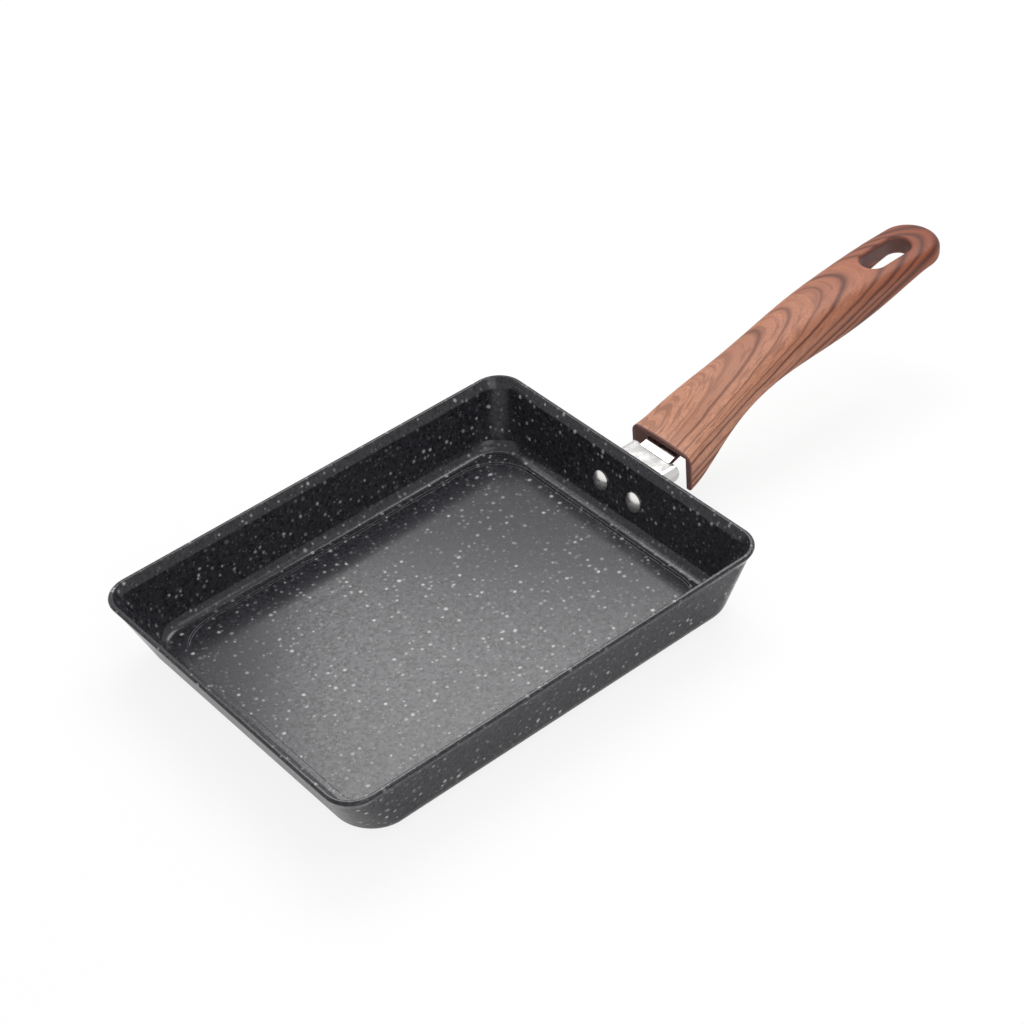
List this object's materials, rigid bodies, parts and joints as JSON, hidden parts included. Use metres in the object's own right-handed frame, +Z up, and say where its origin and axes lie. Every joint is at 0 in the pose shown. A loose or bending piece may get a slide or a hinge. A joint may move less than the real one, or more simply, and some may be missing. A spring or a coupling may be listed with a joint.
{
  "type": "rectangular omelette pan",
  "caption": "Shallow rectangular frying pan with sloping walls and a flared lip, and a long curved handle on a riveted bracket, with a hanging slot.",
  "frame": {"origin": "on the raised flat under the floor that the pan stands on, below the middle of the rim", "axes": "+X from the front wall along the handle, +Y across the pan to its left when the handle points away, +Z up"},
  "size_m": [0.3534, 0.15, 0.0521],
  "materials": {
    "nonstick_pan": "pressed aluminium sheet under a dark satin non-stick coating with pale specks",
    "polished_steel": "polished stainless steel",
    "rivet_aluminium": "bright polished",
    "wood_grain_handle": "satin moulded plastic with a brown wood grain",
    "zinc_steel": "zinc-plated steel",
    "insert_brass": "turned brass"
  },
  "bodies": {
    "root": {"pan_body": "nonstick_pan", "handle_bracket": "polished_steel", "rivet_left": "rivet_aluminium", "rivet_right": "rivet_aluminium", "handle_grip": "wood_grain_handle", "handle_screw": "zinc_steel", "lock_washer": "zinc_steel", "threaded_insert": "insert_brass"}
  },
  "joints": []
}
